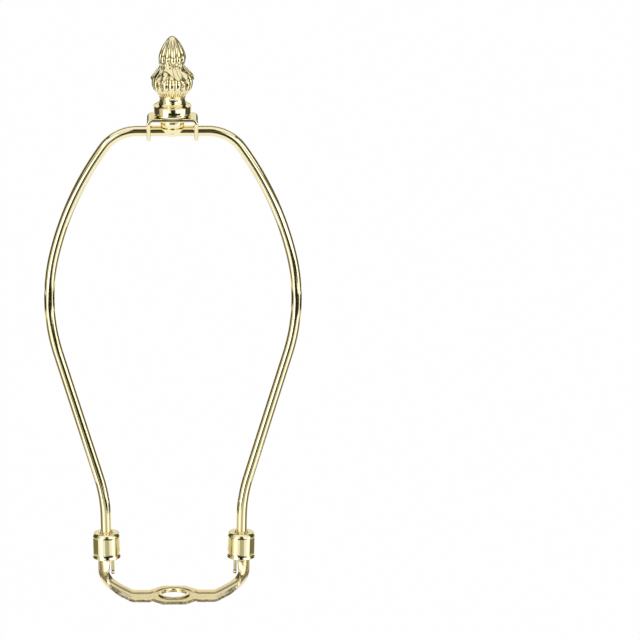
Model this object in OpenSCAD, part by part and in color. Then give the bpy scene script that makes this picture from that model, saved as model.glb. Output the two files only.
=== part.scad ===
// Lamp harp: a wire loop on a stamped saddle, locked by two sliding sleeves, with a
// folded shade rest, a headed stud and an urn finial at its top.
// Millimetres. The origin is the centre of the pipe hole on the saddle's underside.
// +Z is up, the loop lies in the XZ plane and its front faces -Y.

/* [Loop] */
// Height from the saddle's underside to the shade rest's top
harp_h = 203.2; // [190:0.1:230]
// Width over the wire at its widest
loop_w = 104.3; // [98:0.1:112]
// Height of the widest point, as a share of the harp's height
belly_share = 0.625; // [0.6:0.005:0.65]
// Wire diameter
wire_d = 4.3; // [3.8:0.1:4.6]
// Length of the straight top stretch
crown_l = 28.6; // [24:0.2:32]
// Bend radius of each shoulder, to the wire's axis
shoulder_r = 16.5; // [14:0.5:19]
// Radius of the long upper side, to the wire's axis
flank_r = 128; // [115:1:145]
// Radius of the belly, as a share of the side radius of an ellipse as high and wide as the harp
belly_round = 0.404; // [0.37:0.002:0.44]
// Radius of the bend above each leg, to the wire's axis
knee_r = 60; // [50:1:70]
// Height where the straight leg ends
knee_z = 34.5; // [33:0.5:37]
// Distance between the leg axes at the sleeves' bottom edges
leg_gap = 54.8; // [53:0.1:57]
// Angle by which each leg leans outward, going up
leg_lean = 1.2; // [0.4:0.1:2.4]

/* [Wire feet] */
// Thickness of the flattened foot
foot_t = 1.4; // [1.1:0.1:1.6]
// Gap between the foot and the channel's edges
foot_gap = 0.2; // [0.1:0.05:0.4]
// Length of the foot below the sleeve's bottom edge
foot_drop = 6.8; // [5:0.1:8]
// Height of the foot's shoulders above the sleeve's bottom edge
foot_rise = 2.6; // [2:0.1:3]
// Height over which the round wire is pressed into the foot
foot_press = 5; // [4:0.1:5.5]

/* [Sleeves] */
// Height of the sleeves' bottom edges
sleeve_z = 16.9; // [15:0.1:17.5]
// Outer diameter
sleeve_d = 11.1; // [11:0.1:12.4]
// Height
sleeve_h = 10.8; // [10.2:0.1:12]
// Wall
sleeve_wall = 0.85; // [0.7:0.05:0.95]
// Rounding of the top edge
sleeve_round = 1.7; // [1.2:0.1:2.2]
// Depth of the dish round the wire
sleeve_dish = 0.6; // [0.3:0.1:0.9]
// How far the bottom edge flares outward
sleeve_flare = 0.2; // [0.1:0.05:0.4]
// Radial clearance of the sleeve's hole round the wire
sleeve_gap = 0.3; // [0.2:0.05:0.5]

/* [Saddle] */
// Sheet thickness
sheet_t = 1.3; // [1.1:0.1:1.5]
// Width of the strip
strip_w = 12.7; // [11.5:0.1:13.2]
// How far the ring stands above the strip
ring_rise = 0.45; // [0.2:0.05:0.7]
// Pipe hole diameter
pipe_hole_d = 10.3; // [9.8:0.1:11]
// Depth of the ring, front to back
ring_w = 20.4; // [19:0.1:22]
// Length of the ring's straight front and back edges
ring_flat = 9.4; // [8:0.1:11]
// Height of the lip that is pressed up round the pipe hole
lip_h = 0.4; // [0.2:0.05:0.6]
// Diameter of the lip, halfway up its slope
lip_d = 12.8; // [12:0.1:13.6]
// Depth of the groove pressed along the strip and round the lip
groove_h = 0.3; // [0.15:0.05:0.5]
// Width of the groove along the strip
groove_w = 5.6; // [4:0.1:7]
// Outer diameter of the groove round the lip
groove_d = 16.6; // [15.6:0.1:17.4]
// Distance from the middle to each fold
fold_x = 17; // [16:0.1:18.5]
// Angle at which the arms rise from the fold
arm_rise = 28; // [24:1:32]
// Bend radius of the fold
fold_r = 5; // [3:0.5:7]
// Bend radius where the arm turns up into the channel
heel_r = 9; // [7:0.5:10]
// Radial clearance of the channel round the wire
channel_gap = 0.15; // [0.1:0.05:0.3]
// How far the channel's edges reach past the leg's axis
channel_lip = 1.5; // [1.2:0.1:1.8]
// Gap between the channel's top and the sleeve's ceiling
ceiling_gap = 0.1; // [0.05:0.05:0.3]

/* [Shade rest] */
// Width over the ears
rest_w = 20.7; // [19:0.1:22]
// Depth, front to back
rest_d = 12.4; // [11.5:0.1:14]
// Sheet thickness
rest_t = 1.55; // [1.2:0.05:1.8]
// Outer bend radius
rest_bend = 2.4; // [2:0.1:3]
// Depth of the wire's axis below the plate's top
wire_drop = 6.4; // [6:0.1:7]
// Radius of the ears' round ends
ear_r = 4.2; // [3.8:0.1:4.6]
// Radial clearance of the ears' holes round the wire
ear_gap = 0.1; // [0.05:0.05:0.2]

/* [Stud] */
// Stud diameter, at the middle of the thread's depth
stud_d = 6.1; // [5.9:0.05:6.3]
// Length above the plate
stud_l = 9.6; // [8:0.1:11]
// Diameter of the head under the plate
head_d = 10.2; // [9:0.1:10.8]
// Diameter of the head's foot
head_foot_d = 6.2; // [5.6:0.1:7]
// Height of the head
head_h = 3.7; // [3.3:0.1:4]
// Radial clearance of the stud in the plate and in the finial
stud_gap = 0.06; // [0.04:0.01:0.1]
// Clearance between the head, the plate and the seat in the wire
seat_gap = 0.05; // [0.03:0.01:0.1]
// Height of the seat's rim above its floor
seat_rim = 0.6; // [0.4:0.1:0.9]
// Width of the seat's rim
seat_rim_w = 0.9; // [0.5:0.1:1.1]
// Diameter of the bowl under the seat at the wire's underside
bowl_foot_d = 4.8; // [4.6:0.1:6.2]

/* [Finial] */
// Gap between the finial and the plate
finial_gap = 0.3; // [0.2:0.05:0.5]
// Height
finial_h = 32.8; // [31:0.1:36]
// Collar diameter
collar_d = 15.3; // [14:0.1:16.4]
// Collar height
collar_h = 4; // [3.5:0.1:4.8]
// Height of the slope between the collar and the neck
collar_slope = 1.2; // [0.8:0.1:1.6]
// Neck diameter
neck_d = 10.7; // [9.4:0.1:11]
// Height of the urn's foot above the finial's bottom
urn_z = 8; // [7.4:0.1:9.2]
// Diameter of the urn at its widest
urn_d = 16.9; // [16:0.1:17.8]
// Height of the urn
urn_h = 12.3; // [11:0.1:12.6]
// Waist diameter between the urn and the bud
waist_d = 9; // [8:0.1:9.4]
// Height of the bud's widest point above the waist
bud_rise = 3; // [2.4:0.1:3.6]
// Diameter of the bud at its widest
bud_d = 10.9; // [10:0.1:11.8]
// Flutes round the bud
bud_flutes = 12; // [10:1:14]
// Depth of the bud's flutes
bud_cut = 0.7; // [0.3:0.05:0.9]
// Flutes round the lower half of the urn
urn_flutes = 24; // [18:1:26]
// Depth of the urn's flutes
urn_cut = 0.4; // [0.2:0.05:0.6]
// Drooping petals round the upper half of the urn
petals = 6; // [5:1:7]
// How far each petal stands out of the urn
petal_t = 0.4; // [0.2:0.05:0.6]
// Depth of the threaded hole
bore_l = 11; // [10.5:0.1:12]

/* [Hidden] */
wire_r = wire_d / 2;
crown_z = harp_h - wire_drop;
belly_z = belly_share * harp_h;
belly_r = belly_round * harp_h * harp_h / loop_w / 2;
loop_fn = 40;
bend_fn = 240;
bore_fn = 64;
turned_fn = 96;
cut = 1;
// A piece that ends inside its neighbour is a hair thinner and reaches a little way in
hair = 0.01;
reach = 0.4;

function unit(a) = [cos(a), sin(a)];
function angle_of(v) = atan2(v[1], v[0]);
function mix(a, b, f) = a + (b - a) * f;
function clamp01(x) = min(1, max(0, x));
function ease(x) = let (t = clamp01(x)) t * t * (3 - 2 * t);
// Where two circles cross, to the right of the way from a to b
function crossing(a, ra, b, rb) =
    let (d = norm(b - a), u = (b - a) / d, k = (ra * ra - rb * rb + d * d) / (2 * d))
    a + u * k + [u[1], -u[0]] * sqrt(ra * ra - k * k);
// Where two lines cross, each given by a point and a direction
function meeting(a, u, b, v) =
    a + u * ((b[0] - a[0]) * v[1] - (b[1] - a[1]) * v[0]) / (u[0] * v[1] - u[1] * v[0]);

// The right half of the wire's axis, as points and circle centres in the XZ plane
leg_dir = [sin(leg_lean), cos(leg_lean)];
leg_out = [cos(leg_lean), -sin(leg_lean)];
leg_base = [leg_gap / 2, sleeve_z];
leg_straight = (knee_z - sleeve_z) / cos(leg_lean);
knee_c = leg_base + leg_dir * leg_straight + leg_out * knee_r;
belly_c = [(loop_w - wire_d) / 2 - belly_r, belly_z];
shoulder_c = [crown_l / 2, crown_z - shoulder_r];
flank_c = crossing(shoulder_c, flank_r - shoulder_r, belly_c, flank_r - belly_r);
// Angles of the bends, from +X towards +Z
shoulder_end = angle_of(shoulder_c - flank_c);
flank_end = angle_of(belly_c - flank_c);
knee_span = knee_c - belly_c;
side_turn = angle_of(knee_span) + acos((belly_r + knee_r) / norm(knee_span));

// Sizes that follow from the fits
sleeve_r = sleeve_d / 2;
channel_r = wire_r + channel_gap + sheet_t;
channel_mid_r = channel_r - sheet_t / 2;
channel_top = sleeve_h - sleeve_wall - sleeve_dish - ceiling_gap;
foot_out = channel_lip + foot_gap;
foot_in = foot_out + foot_t;
foot_w = 2 * sqrt(pow(sleeve_r - sleeve_wall - foot_gap, 2) - foot_in * foot_in);
plate_z = harp_h - rest_t;
stud_hole_r = stud_d / 2 + stud_gap;
head_top = plate_z - seat_gap;
head_low = head_top - head_h;
seat_floor = head_low - seat_gap;

// The head's bowl-shaped side, as radius and height, from its foot up
function head_side() =
    [for (a = [90:-15:0])
        [head_foot_d / 2 + (head_d - head_foot_d) / 2 * cos(a), head_top - head_h * sin(a)]];

// Puts what is built round the Z axis onto the right leg, from its sleeve's bottom edge up
module on_leg() {
    translate([leg_base[0], 0, leg_base[1]]) rotate([0, leg_lean, 0]) children();
}

// A solid from an outline given as depth and height, run along X
module along_x(length) {
    rotate([90, 0, 90]) linear_extrude(length) children();
}

// A bend of the wire about a centre in the XZ plane, from one angle to a higher one
module wire_bend(centre, bend_r, from, to) {
    translate([centre[0], 0, centre[1]]) rotate([90, 0, 0]) rotate(from)
        rotate_extrude(angle = to - from, $fn = bend_fn)
            translate([bend_r, 0]) circle(r = wire_r, $fn = loop_fn);
}

// A bend that ends inside the stretches beside it
module joining_bend(centre, bend_r, from, to) {
    spread = reach / bend_r * 180 / PI;
    translate([centre[0], 0, centre[1]]) rotate([90, 0, 0]) rotate(from - spread)
        rotate_extrude(angle = to - from + 2 * spread, $fn = bend_fn)
            translate([bend_r, 0]) circle(r = wire_r - hair, $fn = loop_fn);
}

// A straight stretch of the wire between two points in the XZ plane
module wire_run(a, b) {
    translate([a[0], 0, a[1]]) rotate([0, 90 - angle_of(b - a), 0])
        cylinder(h = norm(b - a), r = wire_r, $fn = loop_fn);
}

// The right half of the wire: shoulder, flank, belly, side, knee and leg
module half_wire() {
    joining_bend(shoulder_c, shoulder_r, shoulder_end, 90);
    wire_bend(flank_c, flank_r, flank_end, shoulder_end);
    joining_bend(belly_c, belly_r, side_turn, flank_end);
    wire_run(knee_c - knee_r * unit(side_turn), belly_c + belly_r * unit(side_turn));
    joining_bend(knee_c, knee_r, 180 + side_turn, 180 - leg_lean);
    on_leg() {
        leg();
        foot();
    }
}

// The straight leg, round down to where it is pressed into the foot
module leg() {
    press_top = foot_rise + foot_press;
    difference() {
        translate([0, 0, foot_rise]) cylinder(h = leg_straight - foot_rise, r = wire_r, $fn = loop_fn);
        rotate([90, 0, 0]) linear_extrude(2 * wire_d, center = true)
            polygon([[-foot_out, 0], [-foot_out, foot_rise], [wire_r, press_top],
                     [wire_d, press_top], [wire_d, 0]]);
    }
}

// The foot: a thin blade that stands inward of the channel, wider than its mouth
module foot() {
    corner = foot_w / 4;
    neck_w = 2 * sqrt(wire_r * wire_r - foot_out * foot_out);
    press_top = foot_rise + foot_press;
    intersection() {
        // Side view: the wire's inner side steps inward to the blade
        rotate([90, 0, 0]) linear_extrude(foot_w + cut, center = true)
            polygon([[-foot_in, -foot_drop - cut], [-foot_in, foot_rise], [-foot_out, press_top - cut],
                     [-foot_out + hair, foot_rise], [-foot_out, foot_rise], [-foot_out, -foot_drop - cut]]);
        // Front view: a tongue with round corners and sloped shoulders
        translate([-foot_in - cut, 0, 0]) along_x(foot_in + 2 * cut) {
            polygon([[-foot_w / 2, corner - foot_drop], [foot_w / 2, corner - foot_drop],
                     [foot_w / 2, foot_rise - foot_w / 4], [neck_w / 2, foot_rise + hair],
                     [neck_w / 2, press_top], [-neck_w / 2, press_top],
                     [-neck_w / 2, foot_rise + hair], [-foot_w / 2, foot_rise - foot_w / 4]]);
            translate([corner - foot_w / 2, -foot_drop]) square([foot_w - 2 * corner, 2 * corner]);
            for (side = [-1, 1])
                translate([side * (foot_w / 2 - corner), corner - foot_drop]) circle(r = corner, $fn = 32);
        }
    }
}

module harp_wire() {
    bowl_high = seat_floor + seat_rim;
    bowl_low = crown_z - wire_r;
    // The pocket's cone just clears the head's side at the rim
    rim_depth = (head_top - bowl_high) / head_h;
    rim_share = sqrt(1 - rim_depth * rim_depth);
    pocket_slope = (head_d - head_foot_d) / 2 / head_h * rim_depth / rim_share;
    pocket_rim_r = head_foot_d / 2 + (head_d - head_foot_d) / 2 * rim_share + seat_gap;
    pocket_r = pocket_rim_r - seat_rim * pocket_slope;
    pocket_h = crown_z + wire_r - seat_floor + cut;
    color("goldenrod") difference() {
        union() {
            wire_run([-crown_l / 2, crown_z], [crown_l / 2, crown_z]);
            half_wire();
            mirror([1, 0, 0]) half_wire();
            // The bowl that a punch spread in the crown
            translate([0, 0, bowl_low])
                cylinder(h = bowl_high - bowl_low, r1 = bowl_foot_d / 2, r2 = pocket_rim_r + seat_rim_w, $fn = bore_fn);
        }
        translate([0, 0, seat_floor])
            cylinder(h = pocket_h, r1 = pocket_r, r2 = pocket_r + pocket_h * pocket_slope, $fn = bore_fn);
    }
}

// The outline of the sleeve's wall, as radius and height, moved inward by a distance
function sleeve_shell(inset) =
    let (round_r = sleeve_round - inset, corner = [sleeve_r - sleeve_round, sleeve_h - sleeve_round])
    concat(
        [[sleeve_r + sleeve_flare - inset, 0]],
        [for (i = [1:4]) [sleeve_r - inset + sleeve_flare * (1 - ease(i / 4)), 0.35 * i]],
        [for (a = [0:15:90]) corner + round_r * unit(a)],
        [[sleeve_r - sleeve_round - 0.5, sleeve_h - inset - sleeve_dish * 0.2],
         [wire_r + sleeve_gap, sleeve_h - inset - sleeve_dish]]);

module sleeve() {
    inner = sleeve_shell(sleeve_wall);
    rotate_extrude($fn = turned_fn)
        polygon(concat(sleeve_shell(0), [for (i = [len(inner) - 1:-1:0]) inner[i]]));
}

module right_sleeve() {
    color("gold") on_leg() sleeve();
}

module left_sleeve() {
    color("gold") mirror([1, 0, 0]) on_leg() sleeve();
}

// The line of the arm's sheet, halfway through its thickness, from the ring to the channel's top
arm_dir = unit(arm_rise);
ring_low = -lip_h;
strip_low = ring_low - ring_rise;
fold_point = [fold_x, strip_low + sheet_t / 2];
heel_point = meeting(fold_point, arm_dir, leg_base + leg_out * channel_mid_r, leg_dir);
fold_cut = fold_r * tan(arm_rise / 2);
heel_turn = 90 - leg_lean - arm_rise;
heel_cut = heel_r * tan(heel_turn / 2);
ring_end = ring_flat / 2 + (ring_w - strip_w) / 2;
ring_step = 1.6;
heel_start = heel_point - arm_dir * heel_cut;
heel_end = heel_point + leg_dir * heel_cut;
heel_c = heel_start + heel_r * [-arm_dir[1], arm_dir[0]];
channel_end = leg_base + leg_out * channel_mid_r + leg_dir * channel_top;
// Each station is a point in the XZ plane and the line's angle there
ring_stations = [for (i = [-1:3])
    [[i < 0 ? ring_end - reach : ring_end + ring_step * i / 3,
      ring_low + sheet_t / 2 - ring_rise * ease(i / 3)], 0]];
fold_stations = [for (i = [0:4]) let (a = arm_rise * i / 4)
    [fold_point - [fold_cut, 0] + fold_r * [sin(a), 1 - cos(a)], a]];
arm_stations = [for (i = [1:5]) [mix(fold_point + arm_dir * fold_cut, heel_start, i / 6), arm_rise]];
heel_stations = [for (i = [0:12]) let (a = arm_rise + heel_turn * i / 12)
    [heel_c + heel_r * [sin(a), -cos(a)], a]];
channel_stations = [for (i = [1:2]) [mix(heel_end, channel_end, i / 2), 90 - leg_lean]];
arm_line = concat(ring_stations, fold_stations, arm_stations, heel_stations, channel_stations);
function stretch_to(k) = k == 0 ? 0 : stretch_to(k - 1) + norm(arm_line[k][0] - arm_line[k - 1][0]);
curl_start = stretch_to(len(ring_stations) + len(fold_stations) + 1);
curl_end = stretch_to(len(arm_line) - 2);

// The sheet's section: a developed distance u from its middle becomes a way across and inward
groove_wall = 0.8;
groove_u = [groove_w / 2 - groove_wall / 2, groove_w / 2 + groove_wall / 2];
quarter = channel_mid_r * PI / 2;
function groove_fall(u) = groove_h * clamp01((groove_u[1] - abs(u)) / groove_wall);
function sheet_angle(u, curl) = min(1, abs(u) / quarter) * 90 * curl * sign(u);
function sheet_mid(u, curl) =
    let (bend = channel_mid_r / max(curl, 0.01), a = sheet_angle(u, max(curl, 0.01)),
         past = max(0, abs(u) - quarter))
    [bend * sin(a) + past * cos(a) * sign(u),
     bend * (1 - cos(a)) + past * sin(abs(a)) - groove_fall(u) * (1 - curl)];
function sheet_face(u, curl, side) =
    let (a = sheet_angle(u, curl))
    sheet_mid(u, curl) + side * (sheet_t / 2 - hair) * [-sin(a), cos(a)];
function half_steps(edge) = concat([for (i = [0:3]) groove_u[0] * i / 3],
                                   [for (i = [0:4]) mix(groove_u[1], edge, i / 4)]);
function sheet_steps(edge) =
    let (half = half_steps(edge), n = len(half) - 1)
    concat([for (i = [n:-1:1]) -half[i]], half);
function arm_section(curl) =
    let (steps = sheet_steps(mix(strip_w / 2 - hair, quarter + channel_lip, curl)), n = len(steps) - 1)
    concat([for (i = [0:n]) sheet_face(steps[i], curl, -1)],
           [for (i = [n:-1:0]) sheet_face(steps[i], curl, 1)]);

module arm() {
    around = len(arm_section(0));
    last = len(arm_line) - 1;
    points = [for (k = [0:last])
        let (p = arm_line[k][0], a = arm_line[k][1],
             curl = ease((stretch_to(k) - curl_start) / (curl_end - curl_start)))
        for (q = arm_section(curl)) [p[0] - q[1] * sin(a), q[0], p[1] + q[1] * cos(a)]];
    sides = [for (k = [0:last - 1], i = [0:around - 1])
        let (a = k * around + i, b = k * around + (i + 1) % around)
        each [[a, a + around, b], [b, a + around, b + around]]];
    // Each end is closed by strips that run across the sheet
    ends = [for (k = [0, last], i = [0:around / 2 - 2])
        let (a = k * around + i, b = k * around + around - 1 - i)
        each k == 0 ? [[a, a + 1, b], [a + 1, b - 1, b]] : [[a, b, a + 1], [a + 1, b, b - 1]]];
    polyhedron(points, concat(sides, ends), convexity = 6);
}

// The troughs of the ring, open upward: a round one and one along the strip
module troughs(length) {
    over = 0.1;
    spread = groove_wall * over / groove_h;
    translate([0, 0, -groove_h])
        cylinder(h = groove_h + over, d1 = groove_d - groove_wall, d2 = groove_d + groove_wall + 2 * spread,
                 $fn = turned_fn);
    translate([-length / 2, 0, 0]) along_x(length)
        polygon([[-groove_u[0], -groove_h], [groove_u[0], -groove_h],
                 [groove_u[1] + spread, over], [-groove_u[1] - spread, over]]);
}

// The lip's cone, with its top at zero
module lip() {
    rise = lip_h + groove_h;
    depth = rise + 0.3;
    translate([0, 0, -depth])
        cylinder(h = depth, r1 = (lip_d - rise) / 2 + depth, r2 = (lip_d - rise) / 2, $fn = turned_fn);
}

// The ring: a plate with sloped corners, a grooved face and a raised lip
module ring() {
    step = (ring_w - strip_w) / 2;
    difference() {
        union() {
            difference() {
                union() {
                    translate([0, 0, ring_low]) linear_extrude(sheet_t)
                        polygon([for (side = [[1, 1], [-1, 1], [-1, -1], [1, -1]])
                            for (i = side[0] * side[1] > 0 ? [0, 1] : [1, 0])
                                [side[0] * (ring_end - step * i), side[1] * (strip_w / 2 + step * i)]]);
                    translate([0, 0, ring_low]) troughs(2 * ring_end);
                }
                translate([0, 0, ring_low + sheet_t]) troughs(2 * (ring_end + cut));
            }
            translate([0, 0, sheet_t]) lip();
        }
        lip();
        translate([0, 0, -cut]) cylinder(h = sheet_t + 2 * cut, d = pipe_hole_d, $fn = turned_fn);
    }
}

module saddle() {
    color("darkkhaki") {
        ring();
        arm();
        mirror([1, 0, 0]) arm();
    }
}

// The side view of the shade rest: full depth at the plate, tapering to the ears' round ends
module ear_outline() {
    top = harp_h - rest_bend;
    span = [rest_d / 2, top - crown_z];
    turn = angle_of(span) - acos(ear_r / norm(span));
    touch = [ear_r * cos(turn), crown_z + ear_r * sin(turn)];
    polygon([[rest_d / 2, top], [rest_d / 2, harp_h], [-rest_d / 2, harp_h], [-rest_d / 2, top],
             [-touch[0], touch[1]], [0, crown_z], touch]);
    translate([0, crown_z]) circle(r = ear_r, $fn = bore_fn);
}

// The front view of the shade rest: a plate folded down at both ends
module fold_outline(inset) {
    half = rest_w / 2 - inset;
    corner = rest_bend - inset;
    low = crown_z - ear_r - cut;
    translate([-half, low]) square([2 * half, harp_h - rest_bend - low]);
    translate([corner - half, low]) square([2 * (half - corner), harp_h - inset - low]);
    for (side = [-1, 1])
        translate([side * (half - corner), harp_h - rest_bend]) circle(r = corner, $fn = bore_fn);
}

module shade_rest() {
    color("khaki") difference() {
        intersection() {
            rotate([90, 0, 0]) linear_extrude(rest_d, center = true) difference() {
                fold_outline(0);
                fold_outline(rest_t);
            }
            translate([-rest_w, 0, 0]) along_x(2 * rest_w) ear_outline();
        }
        translate([-rest_w, 0, crown_z]) rotate([0, 90, 0])
            cylinder(h = 2 * rest_w, r = wire_r + ear_gap, $fn = bore_fn);
        translate([0, 0, plate_z - cut]) cylinder(h = rest_t + 2 * cut, r = stud_hole_r, $fn = bore_fn);
    }
}

module finial_stud() {
    tip = 0.6;
    color("khaki") {
        rotate_extrude($fn = bore_fn) polygon(concat([[0, head_top], [0, head_low]], head_side()));
        translate([0, 0, head_top - cut])
            cylinder(h = harp_h + stud_l - tip - head_top + cut, d = stud_d, $fn = bore_fn);
        translate([0, 0, harp_h + stud_l - tip])
            cylinder(h = tip, d1 = stud_d, d2 = stud_d - 2 * tip, $fn = bore_fn);
    }
}

// Heights in the finial, from its bottom
waist_z = urn_z + urn_h;
bud_z = waist_z + bud_rise;
// One lobe of a fluted round: 1 along its middle, dropping to 0.2 at the valleys beside it
function lobe(angle, count) =
    let (u = 2 * (angle * count / 360 - floor(angle * count / 360)) - 1) sqrt(1 - 0.96 * u * u);
function urn_r(z) =
    let (s = (z - urn_z) / urn_h)
    s < 0.5 ? mix(neck_d / 2, urn_d / 2, ease(s / 0.34))
            : mix(waist_d / 2, urn_d / 2, cos(90 * (s - 0.5) / 0.5));
function bud_r(z) =
    z > bud_z ? bud_d / 2 * cos(90 * (z - bud_z) / (finial_h - bud_z))
              : mix(waist_d / 2, bud_d / 2, cos(90 * (bud_z - z) / bud_rise));
// The lower edge of the petals, as a height in the finial: each droops, more on one side
function petal_edge(angle) =
    let (u = 2 * (angle * petals / 360 - floor(angle * petals / 360)) - 1, v = u - 0.45 * (1 - u * u))
    urn_z + urn_h * (0.54 + 0.26 * v * v);

// The rows of the ornament climb the urn and the bud. The row on the petals' edge follows it.
urn_rows = 16;
bud_rows = 13;
edge_row = 9;
function urn_row_z(i, angle) =
    let (edge = petal_edge(angle))
    i <= edge_row ? mix(urn_z - 0.3, edge, i / edge_row)
                  : mix(edge + 0.15, waist_z, (i - edge_row - 1) / (urn_rows - edge_row - 1));
function urn_row_r(i, angle) =
    let (z = urn_row_z(i, angle), s = clamp01((z - urn_z) / 1.5),
         flute = urn_cut * s * (1 - lobe(angle, urn_flutes)),
         petal = petal_t * (1 - ease((i - edge_row - 1) / (urn_rows - edge_row - 1))))
    urn_r(max(z, urn_z)) - (i <= edge_row ? flute + petal_t * s * 0.5 : -petal * 0.6);
function bud_row_z(i, angle) = mix(waist_z, finial_h - 0.15, pow(i / bud_rows, 0.9));
function bud_row_r(i, angle) =
    let (z = bud_row_z(i, angle), lobe_h = lobe(angle, bud_flutes),
         edge = waist_z + 0.5 + 1.3 * (1 - lobe_h),
         base = z > edge ? bud_r(z) : mix(waist_d / 2, bud_r(z), 0.3))
    max(0.25, base - bud_cut * (1 - lobe_h) * min(1, bud_r(z) / (bud_d / 2) + 0.1) * ease((z - waist_z) / 1.2));

module ornament() {
    around = 96;
    rows = urn_rows + bud_rows;
    points = concat(
        [for (i = [0:rows - 1], j = [0:around - 1])
            let (a = 360 * j / around,
                 r = i < urn_rows ? urn_row_r(i, a) : bud_row_r(i - urn_rows + 1, a),
                 z = i < urn_rows ? urn_row_z(i, a) : bud_row_z(i - urn_rows + 1, a))
            [r * cos(a), r * sin(a), z]],
        [[0, 0, urn_z - 0.3], [0, 0, finial_h]]);
    low = rows * around;
    polyhedron(points, concat(
        [for (i = [0:rows - 2], j = [0:around - 1])
            let (a = i * around + j, b = i * around + (j + 1) % around)
            each [[a, a + around, b], [b, a + around, b + around]]],
        [for (j = [0:around - 1]) [low, j, (j + 1) % around]],
        [for (j = [0:around - 1]) [low + 1, low - around + (j + 1) % around, low - around + j]]),
        convexity = 6);
}

module finial() {
    collar_r = collar_d / 2;
    neck_r = neck_d / 2;
    foot_edge = 0.6;
    flare = 0.25;
    color("gold") translate([0, 0, harp_h + finial_gap]) difference() {
        union() {
            rotate_extrude($fn = turned_fn)
                polygon([[0, 0], [collar_r - foot_edge, 0], [collar_r, foot_edge], [collar_r, collar_h],
                         [neck_r + flare, collar_h + collar_slope],
                         [neck_r, mix(collar_h + collar_slope, urn_z, 0.5)],
                         [neck_r + flare, urn_z], [0, urn_z]]);
            ornament();
        }
        translate([0, 0, -cut]) cylinder(h = bore_l + cut, r = stud_hole_r, $fn = bore_fn);
    }
}

saddle();
harp_wire();
left_sleeve();
right_sleeve();
shade_rest();
finial_stud();
finial();
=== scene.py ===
"""Lamp harp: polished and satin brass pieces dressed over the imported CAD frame."""
import math
import bpy
import bmesh
import numpy as np
from mathutils import Matrix, Vector


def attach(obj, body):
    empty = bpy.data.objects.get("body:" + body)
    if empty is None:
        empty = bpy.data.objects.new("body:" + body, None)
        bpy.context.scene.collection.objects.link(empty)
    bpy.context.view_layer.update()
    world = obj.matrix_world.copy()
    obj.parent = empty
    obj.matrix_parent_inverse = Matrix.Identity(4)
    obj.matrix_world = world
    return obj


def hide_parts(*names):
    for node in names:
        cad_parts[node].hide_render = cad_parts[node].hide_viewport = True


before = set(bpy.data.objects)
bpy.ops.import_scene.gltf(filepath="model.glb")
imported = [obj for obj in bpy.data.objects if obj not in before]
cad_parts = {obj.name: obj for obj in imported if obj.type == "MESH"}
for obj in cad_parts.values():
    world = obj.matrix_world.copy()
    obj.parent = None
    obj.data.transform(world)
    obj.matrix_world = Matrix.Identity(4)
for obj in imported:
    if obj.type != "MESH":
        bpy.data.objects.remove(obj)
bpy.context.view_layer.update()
MM = 0.001
# Points closer than this become one, in m
WELD = 2e-6

# Camera: a long lens 2.8 m away, 16.6 degrees above the level
DISTANCE = 2.8
PITCH = math.radians(16.6)
ROLL = math.radians(-0.2)
SENSOR_W = 36
FRAME_PX = 640
FOCAL_PX = 6899.7
# The point on the loop's axis that the camera is set by, and where the picture shows it,
# in pixels left of and below the picture's middle
AIM_Z = 0.1
AIM_LEFT_PX = 146.9
AIM_BELOW_PX = 41.3
cam_data = bpy.data.cameras.new("camera")
cam_data.sensor_width = SENSOR_W
cam_data.lens = FOCAL_PX / FRAME_PX * SENSOR_W
cam_data.clip_end = 20
camera = bpy.data.objects.new("camera", cam_data)
bpy.context.scene.collection.objects.link(camera)
aim_point = Vector((0, 0, AIM_Z))
eye = Vector((0, -DISTANCE * math.cos(PITCH), AIM_Z + DISTANCE * math.sin(PITCH)))
aim = (aim_point - eye).to_track_quat("-Z", "Y").to_matrix()
turn = Matrix.Rotation(-math.atan2(AIM_LEFT_PX, FOCAL_PX), 3, "Y")
tip = Matrix.Rotation(math.atan2(AIM_BELOW_PX, FOCAL_PX), 3, "X")
roll = Matrix.Rotation(ROLL, 3, "Z")
camera.matrix_world = Matrix.Translation(eye) @ (aim @ turn @ tip @ roll).to_4x4()
bpy.context.scene.camera = camera
bpy.context.scene.view_settings.view_transform = "Standard"

# Sizes in mm, the same as the CAD source
HARP_H = 203.2
WIRE_R = 2.15
CROWN_Z = HARP_H - 6.4
CROWN_L = 28.6
SHOULDER_R = 16.5
FLANK_R = 128
BELLY_R = 80
BELLY_Z = 127
LOOP_W = 104.3
KNEE_R = 60
KNEE_Z = 34.5
LEG_GAP = 54.8
LEG_LEAN = 1.2
SLEEVE_Z = 16.9
SLEEVE_R = 5.55
SLEEVE_H = 10.8
SLEEVE_WALL = 0.85
SHEET_T = 1.3
CHANNEL_R = WIRE_R + 0.15 + SHEET_T / 2
CHANNEL_LIP = 1.5
FOOT_OUT = CHANNEL_LIP + 0.2
FOOT_IN = FOOT_OUT + 1.4
FOOT_W = 2 * math.sqrt((SLEEVE_R - SLEEVE_WALL - 0.2) ** 2 - FOOT_IN ** 2)
FOOT_DROP = 6.8
# Height above the sleeve's bottom edge where the wire is round again
ROUND_FROM = 8
# Half width of the pressed wire above the foot's shoulders
FOOT_NECK = 1.9
REST_T = 1.55
REST_W = 20.7
REST_DEEP = 12.4
PLATE_Z = HARP_H - REST_T
# The stud's head: a flat foot with a quarter ellipse round it
HEAD_GAP = 0.05
HEAD_TOP = PLATE_Z - HEAD_GAP
HEAD_H = 3.7
HEAD_FOOT_R = 3.1
HEAD_CURVE_R = 2.0
STUD_R = 3.02
STUD_HOLE_R = 3.11
STUD_TOP = HARP_H + 9.6
THREAD_PITCH = 0.94
THREAD_DEPTH = 0.42


def unit(a):
    return np.array([math.cos(math.radians(a)), math.sin(math.radians(a))])


def angle_of(v):
    return math.degrees(math.atan2(v[1], v[0]))


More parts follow.
